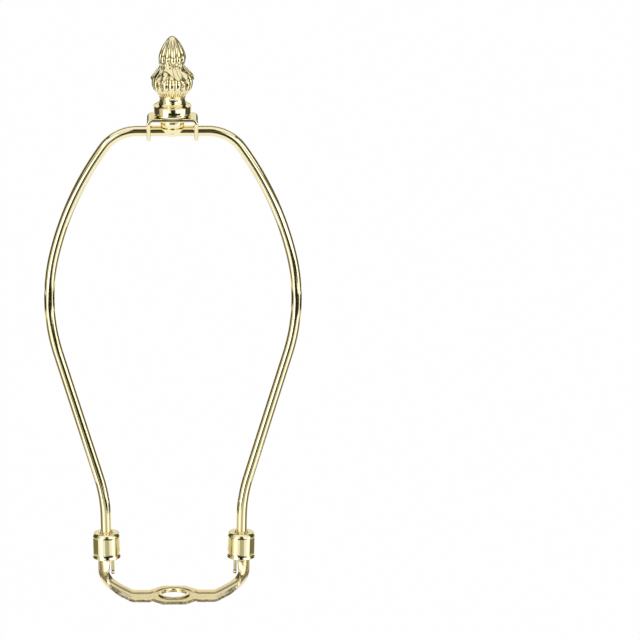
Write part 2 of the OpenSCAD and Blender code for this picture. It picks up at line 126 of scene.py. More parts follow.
def ease(x):
    t = np.clip(x, 0, 1)
    return t * t * (3 - 2 * t)


def make_object(name, points, faces, body, nodes, sharp=35, marked=(), hollow=None):
    """A dressed piece from points in mm. Marked faces get the second material; hollow values, painted
    shade and highlight, go into a point attribute.
    """
    mesh = bpy.data.meshes.new(name)
    mesh.from_pydata([tuple(p) for p in np.asarray(points) * MM], [], [tuple(f) for f in faces])
    for i in marked:
        mesh.polygons[i].material_index = 1
    if hollow is not None:
        values = mesh.attributes.new("hollow", "FLOAT", "POINT").data
        values.foreach_set("value", np.asarray(hollow, np.float32))
    bm = bmesh.new()
    bm.from_mesh(mesh)
    bmesh.ops.remove_doubles(bm, verts=bm.verts, dist=WELD)
    bmesh.ops.recalc_face_normals(bm, faces=bm.faces)
    bm.to_mesh(mesh)
    bm.free()
    mesh.shade_smooth()
    mesh.set_sharp_from_angle(angle=math.radians(sharp))
    piece = bpy.data.objects.new(name, mesh)
    bpy.context.scene.collection.objects.link(piece)
    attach(piece, body)
    if nodes:
        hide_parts(*nodes)
    return piece


def tube_faces(rows, around, caps=True):
    """Faces between rows of points that run round a tube."""
    faces = []
    for i in range(rows - 1):
        for j in range(around):
            a = i * around + j
            b = i * around + (j + 1) % around
            faces.append((a, b, b + around, a + around))
    if caps:
        faces.append(tuple(reversed(range(around))))
        faces.append(tuple((rows - 1) * around + j for j in range(around)))
    return faces


def lathe(profile, around):
    """Points and faces of a closed profile of radius and height turned round Z."""
    profile = np.asarray(profile, float)
    n = len(profile)
    angles = np.arange(around) * 2 * math.pi / around
    points = np.empty((n, around, 3))
    points[:, :, 0] = profile[:, :1] * np.cos(angles)
    points[:, :, 1] = profile[:, :1] * np.sin(angles)
    points[:, :, 2] = profile[:, 1:]
    faces = []
    for i in range(n):
        k = (i + 1) % n
        if profile[i][0] < 1e-6 and profile[k][0] < 1e-6:
            continue
        for j in range(around):
            m = (j + 1) % around
            faces.append((i * around + j, i * around + m, k * around + m, k * around + j))
    return points.reshape(-1, 3), faces


def join(parts):
    """Several pairs of points and faces as one."""
    points = []
    faces = []
    count = 0
    for p, f in parts:
        points.append(np.asarray(p))
        faces += [tuple(i + count for i in face) for face in f]
        count += len(p)
    return np.vstack(points), faces


# The wire's axis, right half, from the foot up to the crown
LEG_DIR = np.array([math.sin(math.radians(LEG_LEAN)), math.cos(math.radians(LEG_LEAN))])
LEG_OUT = np.array([LEG_DIR[1], -LEG_DIR[0]])
LEG_BASE = np.array([LEG_GAP / 2, SLEEVE_Z])
LEG_STRAIGHT = (KNEE_Z - SLEEVE_Z) / LEG_DIR[1]
KNEE_C = LEG_BASE + LEG_DIR * LEG_STRAIGHT + LEG_OUT * KNEE_R
BELLY_C = np.array([LOOP_W / 2 - WIRE_R - BELLY_R, BELLY_Z])
SHOULDER_C = np.array([CROWN_L / 2, CROWN_Z - SHOULDER_R])


def crossing(a, ra, b, rb):
    """Where two circles meet, on the right of the way from the first centre to the second."""
    d = np.linalg.norm(b - a)
    u = (b - a) / d
    k = (ra * ra - rb * rb + d * d) / (2 * d)
    return a + u * k + np.array([u[1], -u[0]]) * math.sqrt(ra * ra - k * k)


FLANK_C = crossing(SHOULDER_C, FLANK_R - SHOULDER_R, BELLY_C, FLANK_R - BELLY_R)
SHOULDER_END = angle_of(SHOULDER_C - FLANK_C)
FLANK_END = angle_of(BELLY_C - FLANK_C)
SPAN = KNEE_C - BELLY_C
SIDE_TURN = angle_of(SPAN) + math.degrees(math.acos((BELLY_R + KNEE_R) / np.linalg.norm(SPAN)))
ABOVE_LEG = 99


def half_axis():
    """Points of the axis, its direction in degrees and the height along the leg, or ABOVE_LEG."""
    rows = []
    for h in np.concatenate([np.linspace(-FOOT_DROP, -5.2, 7), np.linspace(-4.6, 1.6, 8),
                             np.linspace(2, ROUND_FROM, 16), np.linspace(9, LEG_STRAIGHT, 6)]):
        rows.append((LEG_BASE + LEG_DIR * h, 90 - LEG_LEAN, h))
    for a in np.linspace(180 - LEG_LEAN, 180 + SIDE_TURN, 14)[1:]:
        rows.append((KNEE_C + KNEE_R * unit(a), a - 90, ABOVE_LEG))
    for a in np.linspace(SIDE_TURN, FLANK_END, 24):
        rows.append((BELLY_C + BELLY_R * unit(a), a + 90, ABOVE_LEG))
    for a in np.linspace(FLANK_END, SHOULDER_END, 24)[1:]:
        rows.append((FLANK_C + FLANK_R * unit(a), a + 90, ABOVE_LEG))
    for a in np.linspace(SHOULDER_END, 90, 24)[1:]:
        rows.append((SHOULDER_C + SHOULDER_R * unit(a), a + 90, ABOVE_LEG))
    for x in np.concatenate([np.linspace(CROWN_L / 2, 6, 5)[1:], np.linspace(5.5, 0, 12)]):
        rows.append((np.array([x, CROWN_Z]), 180, ABOVE_LEG))
    return rows


def foot_shape(h):
    """Offset, half thickness, half width and squareness of the wire's section at a height."""
    if h > ROUND_FROM:
        return 0, WIRE_R, WIRE_R, 2
    press = ease((h - 2.4) / 5.4)
    mid = -(FOOT_OUT + FOOT_IN) / 2
    thick = (FOOT_IN - FOOT_OUT) / 2
    wide = ease((3.4 - h) / 3.0)
    half_w = FOOT_NECK + (FOOT_W / 2 - FOOT_NECK) * wide
    corner = FOOT_W / 4
    if h < corner - FOOT_DROP:
        drop = corner - FOOT_DROP - h
        half_w = FOOT_W / 2 - corner + math.sqrt(max(corner ** 2 - drop ** 2, 0.02))
    return (mid * (1 - press), thick + (WIRE_R - thick) * press,
            half_w + (WIRE_R - half_w) * press, 2 + 5 * (1 - press))


def head_profile(spread):
    """The side of the stud's bowl-shaped head, from its foot up, or a surface round it."""
    return [(HEAD_FOOT_R + (HEAD_CURVE_R + spread) * math.cos(math.radians(a)),
             HEAD_TOP - (HEAD_H + spread) * math.sin(math.radians(a)))
            for a in np.linspace(90, 0, 19)]


def build_wire():
    """The whole loop with its feet, and the bowl in its crown that the stud's head sits in."""
    around = 48
    phi = np.arange(around) * 2 * math.pi / around
    right = half_axis()
    left = [(np.array([-p[0], p[1]]), -t, h) for p, t, h in reversed(right[:-1])]
    rings = []
    seat_floor = HEAD_TOP - HEAD_H - HEAD_GAP
    for p, t, h in right + left:
        out = np.array([math.sin(math.radians(t)), -math.cos(math.radians(t))])
        shift, thick, wide, power = foot_shape(h)
        c = np.sign(np.cos(phi)) * np.abs(np.cos(phi)) ** (2 / power)
        s = np.sign(np.sin(phi)) * np.abs(np.sin(phi)) ** (2 / power)
        across = shift + thick * c
        ring = np.empty((around, 3))
        ring[:, 0] = p[0] + out[0] * across
        ring[:, 1] = wide * s
        ring[:, 2] = p[1] + out[1] * across
        # The crown is pressed flat under the bowl
        near = np.hypot(ring[:, 0], ring[:, 1]) < 4.2
        pressed = np.minimum(ring[near, 2], seat_floor - 0.02)
        ring[near, 2] = np.where(ring[near, 2] > 190, pressed, ring[near, 2])
        rings.append(ring)
    tube = np.vstack(rings), tube_faces(len(rings), around)
    low = CROWN_Z - WIRE_R
    high = seat_floor + 0.6
    inside = [(r, z) for r, z in head_profile(0.06) if z < high - 0.15]
    rim = inside[-1][0] + 0.12
    outside = [(0, low), (1.2, low), (1.9, low + 0.1), (2.3, low + 0.3)]
    outside += [(2.3 + (rim + 0.72 - 2.3) * f + 0.15 * math.sin(math.pi * f),
                 low + 0.3 + (high - low - 0.52) * f) for f in np.linspace(0.1, 1, 9)]
    outside += [(rim + 0.66, high - 0.06), (rim + 0.5, high)]
    inside += [(rim, high - 0.1), (rim + 0.14, high)]
    bowl = lathe(outside + inside[::-1] + [(0, inside[0][1])], 96)
    return join([tube, bowl])


wire_points, wire_faces = build_wire()
wire = make_object("loop_wire", wire_points, wire_faces, "harp_frame", ["harp_wire"],
                   50)


def on_leg(points, side):
    """Points built round Z go onto a leg, from its sleeve's bottom edge up."""
    p = np.asarray(points)
    placed = np.empty_like(p)
    placed[:, 0] = side * (LEG_BASE[0] + p[:, 0] * LEG_OUT[0] + p[:, 2] * LEG_DIR[0])
    placed[:, 1] = p[:, 1]
    placed[:, 2] = LEG_BASE[1] + p[:, 0] * LEG_OUT[1] + p[:, 2] * LEG_DIR[1]
    return placed


def sleeve_profile():
    """Radius and height: up the outside, over the round into the dish and down the inside."""
    top = SLEEVE_H
    round_c = (3.85, 9.1)
    outer = [(5.66, 0.0), (5.74, 0.08), (5.77, 0.22), (5.74, 0.42), (5.65, 0.75), (5.58, 1.15),
             (SLEEVE_R, 1.6)]
    outer += [(SLEEVE_R, z) for z in (3, 5, 7, 8.4)]
    outer += [(round_c[0] + 1.7 * math.cos(math.radians(a)),
               round_c[1] + 1.7 * math.sin(math.radians(a))) for a in range(0, 91, 9)]
    outer += [(3.5, top - 0.03), (3.15, top - 0.16), (2.8, top - 0.38), (2.56, top - 0.6),
              (2.46, top - 0.78), (2.45, top - 1.0), (2.45, top - 1.38)]
    inner = [(2.6, top - 1.45), (3.3, top - 1.02), (3.85, top - SLEEVE_WALL)]
    inner += [(round_c[0] + 0.85 * math.cos(math.radians(a)),
               round_c[1] + 0.85 * math.sin(math.radians(a))) for a in range(75, -1, -15)]
    inner += [(4.7, z) for z in (7, 4, 2, 1.0)] + [(4.78, 0.4), (4.95, 0.06), (5.1, 0.0)]
    return outer + inner


for side, name in ((1, "right"), (-1, "left")):
    pts, fcs = lathe(sleeve_profile(), 96)
    make_object(name + "_cup", on_leg(pts, side), fcs, name + "_sleeve_body", [name + "_sleeve"],
                50)


def build_rest():
    """The shade rest: a sheet folded down at both ends, its depth tapering to round ear ends."""
    half = REST_W / 2
    bend = 2.4
    ear_r = 4.2
    top = HARP_H
    mid_r = bend - REST_T / 2
    line = []
    ear_low = CROWN_Z - ear_r
    for z in np.concatenate([ear_low + ear_r * (1 - np.cos(np.linspace(0.02, math.pi / 2, 14))),
                             np.linspace(CROWN_Z, top - bend, 8)[1:]]):
        line.append(((half - REST_T / 2, z), (1, 0)))
    for a in np.linspace(0, 90, 10)[1:]:
        u = unit(a)
        line.append(((half - bend + mid_r * u[0], top - bend + mid_r * u[1]), u))
    for x in np.linspace(half - bend, 0, 9)[1:]:
        line.append(((x, top - REST_T / 2), (0, 1)))
    line += [((-p[0], p[1]), (-n[0], n[1])) for p, n in reversed(line[:-1])]
    deep = REST_DEEP / 2
    # Where the ear's slanting edge touches its round end
    ear_h = top - bend - CROWN_Z
    slant = math.radians(angle_of((deep, ear_h))) - math.acos(ear_r / math.hypot(deep, ear_h))
    touch = (ear_r * math.cos(slant), CROWN_Z + ear_r * math.sin(slant))
    steps = 9
    t = REST_T / 2
    rounding = [math.radians(a) for a in (0, 18, 36, 54, 72, 90)]
    rings = []
    for p, n in line:
        z = p[1]
        if z >= top - bend:
            w = deep
        elif z > touch[1]:
            w = touch[0] + (deep - touch[0]) * (z - touch[1]) / (top - bend - touch[1])
        else:
            w = math.sqrt(max(ear_r ** 2 - (z - CROWN_Z) ** 2, 1e-4))
        edge = min(0.6, w * 0.5)
        ys = [w - edge * (1 - math.sin(a)) for a in rounding]
        outs = [t - edge * (1 - math.cos(a)) for a in rounding]
        section = [(y, t) for y in np.linspace(-w + edge, w - edge, steps)]
        section += list(zip(ys[1:], outs[1:]))
        section += [(y, -o) for y, o in zip(ys[::-1], outs[::-1])][:-1]
        section += [(y, -t) for y in np.linspace(w - edge, -w + edge, steps)]
        section += [(-y, -o) for y, o in zip(ys[1:], outs[1:])]
        section += [(-y, o) for y, o in zip(ys[::-1], outs[::-1])][:-1]
        rings.append([(p[0] + n[0] * o, y, p[1] + n[1] * o) for y, o in section])
    around = len(rings[0])
    return np.array(rings).reshape(-1, 3), tube_faces(len(rings), around)


def cut_hole(piece, radius, location, rotation, length):
    bpy.ops.mesh.primitive_cylinder_add(vertices=72, radius=radius * MM, depth=length * MM,
                                        location=location, rotation=rotation)
    cutter = bpy.context.active_object
    mod = piece.modifiers.new("hole", "BOOLEAN")
    mod.object = cutter
    mod.solver = "EXACT"
    bpy.context.view_layer.objects.active = piece
    bpy.ops.object.modifier_apply(modifier=mod.name)
    bpy.data.objects.remove(cutter)


rest_points, rest_faces = build_rest()
rest = make_object("rest_bracket", rest_points, rest_faces, "harp_frame", ["shade_rest"],
                   35)
cut_hole(rest, STUD_HOLE_R, (0, 0, PLATE_Z * MM), (0, 0, 0), 8)
cut_hole(rest, WIRE_R + 0.1, (0, 0, CROWN_Z * MM), (0, math.pi / 2, 0), 40)
rest.data.set_sharp_from_angle(angle=math.radians(35))


def build_stud():
    """The stud: a bowl-shaped head and a rolled thread that fades out inside the plate."""
    around = 72
    angles = np.arange(around) * 2 * math.pi / around

    def ring(r, z):
        return np.stack([r * np.cos(angles), r * np.sin(angles), np.full(around, z)], 1)

    rings = [ring(r, z) for r, z in head_profile(0) + [(4.95, HEAD_TOP), (2.8, HEAD_TOP)]]
    for z in np.arange(HEAD_TOP + 0.1, STUD_TOP, 0.09):
        phase = ((z - HEAD_TOP) / THREAD_PITCH - angles / (2 * math.pi)) % 1
        crest = 1 - np.abs(2 * phase - 1)
        fade = np.minimum(1, (z - HARP_H + 0.6) / 0.8) if z > HARP_H - 0.6 else 0
        r = STUD_R - (THREAD_DEPTH * (1 - ease(crest * 1.25))) * fade
        r = np.minimum(r, 2.45 + max(0, STUD_TOP - z))
        rings.append(ring(r, z))
    return np.vstack(rings), tube_faces(len(rings), around)


stud_points, stud_faces = build_stud()
stud = make_object("headed_stud", stud_points, stud_faces, "stud_body", ["finial_stud"],
                   60)


# Finial: height above the plate and radius of the urn and the bud, without their ornament
FINIAL_Z = HARP_H + 0.3
OUTLINE = [(8.35, 5.45), (8.75, 5.65), (9.3, 6.1), (9.8, 6.6), (10.3, 7.05), (10.8, 7.42),
           (11.4, 7.8), (12.1, 8.1), (13.0, 8.35), (14.0, 8.42), (15.2, 8.32), (16.2, 7.98),
           (17.0, 7.48), (17.8, 6.8), (18.6, 6.05), (19.3, 5.4), (19.9, 4.9), (20.4, 4.62),
           (20.9, 4.5), (21.5, 4.68), (22.2, 5.0), (23.0, 5.3), (24.0, 5.42), (25.0, 5.28),
           (26.3, 4.9), (27.4, 4.48), (28.4, 4.02), (29.4, 3.48), (30.4, 2.85), (31.3, 2.2),
           (32.0, 1.62), (32.5, 1.1), (32.85, 0.55), (32.95, 0.02)]
# How many of each run round the finial, and the heights where they begin
BUD_FLUTES = 12
BUD_Z = 22.4
BEAD_Z = 21.7
WAIST_LEAVES = 10
WAIST_Z = 18.0
PETALS = 5
UPPER_PETALS_Z = 16.2
UPPER_PETALS_MID = 17.4
LOWER_PETALS_Z = 13.9
STAVES = 18
STAVES_Z = 11.9
FINE_FLUTES = 36
FINE_FLUTES_Z = 9.1
TIP_Z = 32.9


def catmull(table, count):
    """A smooth curve through a table's rows."""
    t = np.asarray(table, float)
    n = len(t)
    s = np.linspace(0, n - 1.0001, count)
    i = s.astype(int)
    f = (s - i)[:, None]
    p0 = t[np.maximum(i - 1, 0)]
    p1 = t[i]
    p2 = t[np.minimum(i + 1, n - 1)]
    p3 = t[np.minimum(i + 2, n - 1)]
    return 0.5 * (2 * p1 + (p2 - p0) * f + (2 * p0 - 5 * p1 + 4 * p2 - p3) * f ** 2
                  + (3 * p1 - p0 - 3 * p2 + p3) * f ** 3)


def lobes(turns, sharpness=0.96):
    """1 along the middle of each lobe, falling to a sharp valley."""
    u = 2 * (turns % 1) - 1
    return np.sqrt(1 - sharpness * u * u)


def soft_step(x, width):
    return ease(x / width + 0.5)


def ornament():
    """The urn and bud: points, faces and how deep in a hollow each point lies, which the cast brass
    turns into painted shade.
    """
    around = 440
    line = catmull(OUTLINE, 600)
    # One upper petal runs from -1 to 1 in u, and v leans its middle to one side
    a = np.arange(around)[None, :] / around
    u = 2 * ((a * PETALS + 0.725) % 1) - 1
    v = u - 0.55 * (1 - u * u)
    edge = UPPER_PETALS_Z + 3.3 * np.abs(v) ** 1.4
    # The rows climb from the neck to the tip and bend to follow the petals' edge
    rows = np.unique(np.concatenate([line[::5, 0], np.arange(15.4, 19.4, 0.08), line[-1:, 0]]))[:, None]
    z = rows + (edge - UPPER_PETALS_MID) * np.exp(-((rows - UPPER_PETALS_MID) / 2.3) ** 2)
    r = np.interp(z, line[:, 0], line[:, 1])
    # Deep flutes of the bud, with scalloped lower ends and a row of beads below
    flutes = lobes(a * BUD_FLUTES + 0.32)
    scallop = 1.2 * (1 - flutes)
    on_bud = soft_step(z - BUD_Z - scallop, 0.3)
    fade = ease((32.3 - z) / 1.5)
    bud = -1.15 * (1 - flutes) * np.clip(r / 5.4, 0.1, 1) * fade + 0.14
    bud_hollow = 1.2 * (1 - flutes) ** 2.2 * fade
    bead = np.sqrt(np.clip(1 - ((z - BEAD_Z) / 0.75) ** 2, 0, 1)) * lobes(a * BUD_FLUTES + 0.82)
    gap = np.exp(-((z - BUD_Z + 0.1 - scallop) / 0.22) ** 2)
    # Slanting leaves round the waist
    slant = a * WAIST_LEAVES + (z - 19) * 0.2
    leaf = 0.5 * (lobes(slant, 0.95) - 0.6)
    on_waist = soft_step(z - WAIST_Z, 2.0)
    # Two rows of drooping petals, each lower on one side, with a fold and veins
    over = soft_step(z - edge - 0.05, 0.2)
    vein = np.abs(((v * 1.8 + (z - 16) * 0.12) % 1) - 0.5) * 2
    groove = ease(1.6 - vein / 0.15)
    lift = 0.78 * over * (1 - ease((z - edge) / 4.4)) - 0.22 * over * groove
    u2 = 2 * ((a * PETALS + 0.255) % 1) - 1
    edge2 = LOWER_PETALS_Z + 5.2 * np.abs(u2 / 0.66) ** 1.5
    under = soft_step(z - edge2, 0.45) * (1 - over)
    crease = np.exp(-((u2 - 0.1 + (z - 15) * 0.05) / 0.07) ** 2)
    lift2 = 0.6 * under * (1 - ease((z - edge2) / 5)) - 0.35 * under * crease
    undercut = np.exp(-((z - edge + 0.16) / 0.2) ** 2)
    undercut = undercut + np.exp(-((z - edge2 + 0.16) / 0.2) ** 2) * (1 - over)
    # Round staves below the petals and fine flutes on the taper
    staves = lobes(a * STAVES + 0.1)
    on_staves = soft_step(z - STAVES_Z, 0.8) * (1 - over) * (1 - under) * (1 - soft_step(z - 19, 1.5))
    fine = lobes(a * FINE_FLUTES + 0.1)
    on_fine = soft_step(z - FINE_FLUTES_Z, 0.6) * (1 - soft_step(z - STAVES_Z, 0.8))
    below_bud = on_waist * (1 - over * 0.6) * leaf + 0.3 * bead + lift + lift2
    relief = on_bud * bud + (1 - on_bud) * below_bud
    relief += -1.0 * (1 - staves) * on_staves - 0.4 * (1 - fine) * on_fine
    # Painted shade in the flutes, the gap under the bud, the leaves' valleys, veins, creases and under
    # the petals' edges
    waist_hollow = gap + on_waist * (1 - lobes(slant, 0.95)) * (1 - over) * 0.8
    hollow = on_bud * bud_hollow + (1 - on_bud) * waist_hollow
    hollow = hollow + (1 - on_bud) * (over * groove * 0.5 + under * crease * 0.8 + undercut)
    hollow = hollow + 1.2 * (1 - staves) ** 2.2 * on_staves + 0.7 * (1 - fine) ** 1.6 * on_fine
    r = np.maximum(r + relief * np.clip((TIP_Z - z) / 0.6, 0, 1), 0.01)
    points = np.empty((len(rows), around, 3))
    points[:, :, 0] = r * np.cos(2 * math.pi * a)
    points[:, :, 1] = r * np.sin(2 * math.pi * a)
    points[:, :, 2] = HARP_H + z
    return points.reshape(-1, 3), tube_faces(len(rows), around), np.clip(hollow, 0, 1).reshape(-1)


def build_finial():
    """The turned foot with its threaded hole, and the ornament above it."""
    z0 = FINIAL_Z - HARP_H
    outer = [(6.9, z0), (7.25, z0 + 0.05), (7.5, z0 + 0.25), (7.62, z0 + 0.5), (7.65, z0 + 0.8),
             (7.65, 4.0), (7.6, 4.2), (7.45, 4.36), (7.1, 4.52), (6.6, 4.78), (6.15, 5.1),
             (5.8, 5.45), (5.55, 5.85), (5.4, 6.4), (5.35, 7.0), (5.37, 7.6), (5.44, 8.0),
             (5.54, 8.3), (5.56, 8.5), (5.4, 8.7), (4.9, 8.75)]
    inner = [(4.2, 8.8), (3.4, 11.4), (STUD_HOLE_R, 11.3), (STUD_HOLE_R, z0 + 0.5), (3.6, z0)]
    pts, fcs = lathe([(r, HARP_H + z) for r, z in outer + inner], 128)
    urn_points, urn_faces, hollow = ornament()
    points, faces = join([(pts, fcs), (urn_points, urn_faces)])
    return points, faces, np.concatenate([np.zeros(len(pts)), hollow])


fin_points, fin_faces, fin_hollow = build_finial()
finial = make_object("urn_finial", fin_points, fin_faces, "finial_body", ["finial"],
                     60, hollow=fin_hollow)


# Saddle: one sheet, from the ring out along both arms
ARM_RISE = 28
RING_LOW = -0.4
STRIP_STEP = 0.45
STRIP_LOW = RING_LOW - STRIP_STEP
STRIP_W = 12.7
RING_W = 20.4
RING_END = 9.4 / 2 + (RING_W - STRIP_W) / 2
RING_HOLE_R = 5.15
FOLD = np.array([17.0, STRIP_LOW + SHEET_T / 2])
ARM_DIR = unit(ARM_RISE)
CHANNEL_BASE = LEG_BASE + LEG_OUT * CHANNEL_R
QUARTER = CHANNEL_R * math.pi / 2
HEEL_R = 9.0
FOLD_R = 5.0
# The sunk middle of the strip: its depth, and where its wall ends and how wide the wall is
GROOVE = -0.42
GROOVE_EDGE = 3.15
GROOVE_WALL = 0.7
# How much the sheet's sharp edges are broken
BREAK = 0.18
# Value of the point attribute "hollow" on bright lines of painted highlight
PAINTED_HIGHLIGHT = -0.8


def meeting(a, u, b, v):
    """Where two lines meet, each given by a point and a direction."""
    return a + u * ((b[0] - a[0]) * v[1] - (b[1] - a[1]) * v[0]) / (u[0] * v[1] - u[1] * v[0])


def arm_line():
    """Points along the middle of the sheet and its slope in degrees, from the ring to the arm's end."""
    heel = meeting(FOLD, ARM_DIR, CHANNEL_BASE, LEG_DIR)
    fold_cut = FOLD_R * math.tan(math.radians(ARM_RISE / 2))
    heel_turn = 90 - LEG_LEAN - ARM_RISE
    heel_cut = HEEL_R * math.tan(math.radians(heel_turn / 2))
    start = heel - ARM_DIR * heel_cut
    end = heel + LEG_DIR * heel_cut
    centre = start + HEEL_R * np.array([-ARM_DIR[1], ARM_DIR[0]])
    rows = []
    for f in np.linspace(0, 1, 7):
        rows.append((np.array([RING_END + 1.6 * f, RING_LOW + SHEET_T / 2 - STRIP_STEP * ease(f)]), 0))
    for a in np.linspace(0, ARM_RISE, 9):
        s, c = math.sin(math.radians(a)), math.cos(math.radians(a))
        rows.append((FOLD - np.array([fold_cut, 0]) + FOLD_R * np.array([s, 1 - c]), a))
    first = FOLD + ARM_DIR * fold_cut
    for f in np.linspace(0, 1, 9)[1:-1]:
        rows.append((first + (start - first) * f, ARM_RISE))
    for a in np.linspace(ARM_RISE, ARM_RISE + heel_turn, 28):
        s, c = math.sin(math.radians(a)), math.cos(math.radians(a))
        rows.append((centre + HEEL_R * np.array([s, -c]), a))
    last = CHANNEL_BASE + LEG_DIR * 9.25
    for f in np.linspace(0, 1, 6)[1:]:
        rows.append((end + (last - end) * f, 90 - LEG_LEAN))
    return rows


def strip_steps(half):
    inner = np.concatenate([np.linspace(0, 2.2, 4), np.linspace(2.4, 3.2, 8)])
    outer = np.linspace(3.2, half, 8)[1:]
    right = np.concatenate([inner, outer])
    return np.concatenate([-right[:0:-1], right])


def sheet_section(curl):
    """Section of the sheet from flat (0) to channel (1): points, hollow values of painted shade and
    highlight, and steps across.
    """
    half = STRIP_W / 2 + (QUARTER + CHANNEL_LIP - STRIP_W / 2) * curl
    u = strip_steps(half)
    c = max(curl, 0.01)
    bend = CHANNEL_R / c
    a = np.minimum(1, np.abs(u) / QUARTER) * math.pi / 2 * c * np.sign(u)
    past = np.maximum(0, np.abs(u) - QUARTER)
    groove = GROOVE * ease(np.clip((GROOVE_EDGE - np.abs(u)) / GROOVE_WALL, 0, 1))
    across = bend * np.sin(a) + past * np.cos(a) * np.sign(u)
    inward = bend * (1 - np.cos(a)) + past * np.sin(np.abs(a)) + groove * (1 - curl)
    normal = np.stack([-np.sin(a), np.cos(a)], 1)
    mid = np.stack([across, inward], 1)
    t = SHEET_T / 2
    top = mid + normal * t
    low = mid - normal * t
    along = np.stack([np.cos(a), np.sin(a)], 1)
    for k, s in ((0, 1), (-1, -1)):
        top[k] += along[k] * BREAK * s
        low[k] += along[k] * BREAK * s
    side_a = [mid[-1] + normal[-1] * (t - BREAK), mid[-1] - normal[-1] * (t - BREAK)]
    side_b = [mid[0] - normal[0] * (t - BREAK), mid[0] + normal[0] * (t - BREAK)]
    # Painted shade on the groove's back wall, painted highlight on a line beside it and along the
    # strip's front edge
    wall = (u > 2.3) & (u < 3.2)
    highlit = ((u > 1.2) & (u < 2.25)) | (u < 0.7 - half)
    upper = np.where(wall, 1 - curl, np.where(highlit, PAINTED_HIGHLIGHT * (1 - curl), 0))
    shade = np.concatenate([upper, np.zeros(len(u) + 4)])
    return np.vstack([top, side_a, low[::-1], side_b]), shade, len(u)


def ring_top(x, y):
    """The height of the ring's upper face."""
    r = math.hypot(x, y)
    rim = RING_LOW + SHEET_T
    ring_groove = ease((8.3 - r) / 0.6) * ease((r - 6.2) / 0.7)
    strip_groove = ease((GROOVE_EDGE - abs(y)) / GROOVE_WALL) * ease((r - 6.6) / 0.8)
    lip = ease((6.7 - r) / 0.7)
    return rim + GROOVE * max(ring_groove, strip_groove) * (1 - lip) + 0.4 * lip


